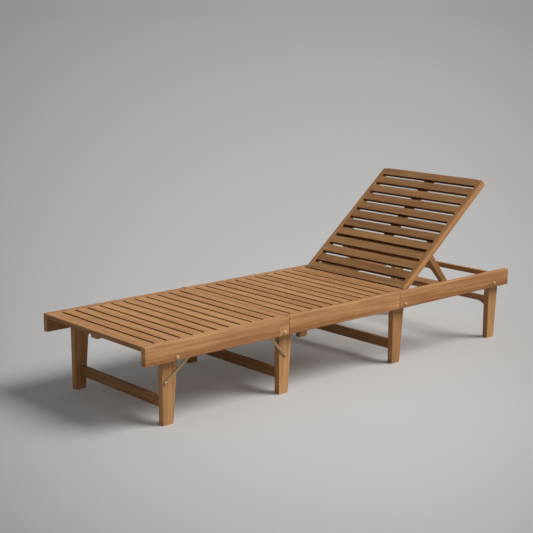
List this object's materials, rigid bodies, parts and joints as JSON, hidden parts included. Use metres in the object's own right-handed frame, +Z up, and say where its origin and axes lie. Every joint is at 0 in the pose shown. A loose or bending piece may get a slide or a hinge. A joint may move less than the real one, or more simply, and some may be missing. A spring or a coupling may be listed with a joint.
{
  "type": "folding sun lounger",
  "caption": "Slatted wooden sun lounger whose deck folds in three, with folding legs and an adjustable propped back.",
  "frame": {"origin": "on the floor under the middle of the lounger's length and width", "axes": "+X towards the head end, +Y towards the far rail, +Z up"},
  "size_m": [1.992, 0.669, 0.7193],
  "materials": {
    "wood_slats": "oiled, satin",
    "wood_frame": "oiled, satin",
    "steel": "zinc plated, satin",
    "stay_metal": "yellowed zinc, satin"
  },
  "bodies": {
    "middle_section": {"middle_rail_near": "wood_frame", "middle_rail_far": "wood_frame", "middle_strips": "wood_frame", "middle_end_slats": "wood_slats", "middle_slats": "wood_slats", "middle_batten": "wood_frame", "middle_fold_leaves": "steel"},
    "foot_section": {"foot_rail_near": "wood_frame", "foot_rail_far": "wood_frame", "foot_strips": "wood_frame", "foot_end_slat": "wood_slats", "foot_slats": "wood_slats", "foot_seam_slat": "wood_slats", "foot_batten": "wood_frame", "foot_rail_pads": "wood_frame", "foot_stay_blocks": "wood_frame", "foot_leg_bolts": "steel", "foot_fold_leaves": "steel"},
    "head_section": {"head_rail_near": "wood_frame", "head_rail_far": "wood_frame", "head_strips": "wood_frame", "head_seat_slat": "wood_slats", "rack_strips": "wood_frame", "rack_board": "wood_frame", "head_end_bar": "wood_frame", "head_leg_bolts": "steel", "head_fold_leaves": "steel", "back_hinge_fixed_leaves": "steel"},
    "leg_pair_1": {"leg_1_near": "wood_frame", "leg_1_far": "wood_frame", "leg_1_stretcher": "wood_frame", "stay_1_rivets": "stay_metal"},
    "leg_pair_2": {"leg_2_near": "wood_frame", "leg_2_far": "wood_frame", "leg_2_stretcher": "wood_frame", "stay_2_rivets": "stay_metal"},
    "leg_pair_3": {"leg_3_near": "wood_frame", "leg_3_far": "wood_frame", "leg_3_stretcher": "wood_frame"},
    "leg_pair_4": {"leg_4_near": "wood_frame", "leg_4_far": "wood_frame", "leg_4_apron": "wood_frame"},
    "stays_1": {"stay_1_near": "stay_metal", "stay_1_far": "stay_metal"},
    "stays_2": {"stay_2_near": "stay_metal", "stay_2_far": "stay_metal"},
    "back": {"back_stile_near": "wood_frame", "back_stile_far": "wood_frame", "back_bottom_slat": "wood_slats", "back_top_slat": "wood_slats", "back_slats": "wood_slats", "back_batten": "wood_frame", "back_bar": "wood_frame", "prop_cleats": "wood_frame", "prop_pins": "steel", "back_hinge_moving_leaves": "steel"},
    "prop": {"prop_strut_near": "wood_frame", "prop_strut_far": "wood_frame", "prop_crossbar": "wood_frame", "prop_foot_pins": "steel"}
  },
  "joints": [
    {"name": "foot_section_fold", "type": "hinge", "parent": "middle_section", "child": "foot_section", "pos_m": [-0.3284, 0, 0.3118], "axis": [0, 1, 0], "range_deg": [0, 180]},
    {"name": "head_section_fold", "type": "hinge", "parent": "middle_section", "child": "head_section", "pos_m": [0.2856, 0, 0.2407], "axis": [0, 1, 0], "range_deg": [0, 148]},
    {"name": "leg_pair_1_fold", "type": "hinge", "parent": "foot_section", "child": "leg_pair_1", "pos_m": [-0.858, 0, 0.252], "axis": [0, -1, 0], "range_deg": [0, 90]},
    {"name": "leg_pair_2_fold", "type": "hinge", "parent": "foot_section", "child": "leg_pair_2", "pos_m": [-0.3515, 0, 0.252], "axis": [0, 1, 0], "range_deg": [0, 90]},
    {"name": "leg_pair_3_fold", "type": "hinge", "parent": "head_section", "child": "leg_pair_3", "pos_m": [0.321, 0, 0.256], "axis": [0, -1, 0], "range_deg": [0, 90]},
    {"name": "leg_pair_4_fold", "type": "hinge", "parent": "head_section", "child": "leg_pair_4", "pos_m": [0.8995, 0, 0.258], "axis": [0, 1, 0], "range_deg": [0, 90]},
    {"name": "stays_1_swing", "type": "hinge", "parent": "leg_pair_1", "child": "stays_1", "pos_m": [-0.8885, 0, 0.157], "axis": [0, 1, 0], "range_deg": [0, 126.5]},
    {"name": "stays_2_swing", "type": "hinge", "parent": "leg_pair_2", "child": "stays_2", "pos_m": [-0.3195, 0, 0.152], "axis": [0, -1, 0], "range_deg": [0, 137.1]},
    {"name": "back_recline", "type": "hinge", "parent": "head_section", "child": "back", "pos_m": [0.34, 0, 0.3075], "axis": [0, 1, 0], "range_deg": [-16, 39.1]},
    {"name": "prop_swing", "type": "hinge", "parent": "back", "child": "prop", "pos_m": [0.53212, 0, 0.42627], "axis": [0, -1, 0], "range_deg": [-36.8, 89.8]}
  ],
  "couplings": [
    {"joint": "stays_1_swing", "follows": "leg_pair_1_fold", "ratio": 1.405},
    {"joint": "stays_2_swing", "follows": "leg_pair_2_fold", "ratio": 1.523},
    {"joint": "prop_swing", "follows": "back_recline", "ratio": 2.2941},
    {"joint": "leg_pair_3_fold", "follows": "head_section_fold", "ratio": 0.5},
    {"joint": "leg_pair_4_fold", "follows": "head_section_fold", "ratio": 0.5}
  ]
}
